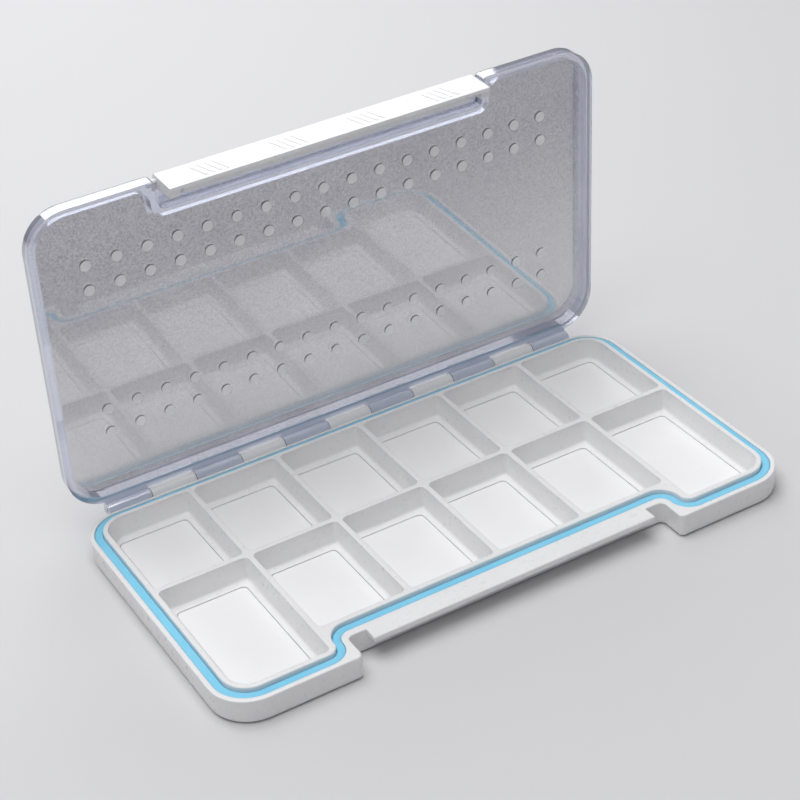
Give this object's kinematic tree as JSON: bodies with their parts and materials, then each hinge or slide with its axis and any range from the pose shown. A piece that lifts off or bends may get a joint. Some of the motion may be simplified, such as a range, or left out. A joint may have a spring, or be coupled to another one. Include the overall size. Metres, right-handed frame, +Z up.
{
  "type": "hinged compartment palette",
  "caption": "Flat white compartment palette with a sky-blue rim seal, a clear hinged lid and a full-width front latch flap.",
  "frame": {"origin": "centre of the tray's flat underside, on the underside plane", "axes": "+X along the tray's length, to the right seen from the latch side; +Y from the latch side towards the hinge; +Z up out of the wells"},
  "size_m": [0.19, 0.1097, 0.1112],
  "materials": {
    "tray_white": "satin",
    "seal_blue": "matte",
    "liner_white": "matte",
    "lid_clear": "gloss",
    "latch_white": "satin"
  },
  "bodies": {
    "tray": {"base_tray": "tray_white", "rim_seal": "seal_blue", "well_liner_01": "liner_white", "well_liner_02": "liner_white", "well_liner_03": "liner_white", "well_liner_04": "liner_white", "well_liner_05": "liner_white", "well_liner_06": "liner_white", "well_liner_07": "liner_white", "well_liner_08": "liner_white", "well_liner_09": "liner_white", "well_liner_10": "liner_white", "well_liner_11": "liner_white", "well_liner_12": "liner_white", "hinge_pin_left": "tray_white", "hinge_pin_right": "tray_white"},
    "lid": {"lid_shell": "lid_clear", "latch_pin_left": "latch_white", "latch_pin_right": "latch_white"},
    "latch": {"latch_flap": "latch_white"}
  },
  "joints": [
    {"name": "lid_hinge", "type": "hinge", "parent": "tray", "child": "lid", "pos_m": [0, 0.0528, 0.00745], "axis": [1, 0, 0], "range_deg": [0, 88]},
    {"name": "latch_pivot", "type": "hinge", "parent": "lid", "child": "latch", "pos_m": [0, 0.05339, 0.10933], "axis": [1, 0, 0], "range_deg": [-70, 4]}
  ]
}
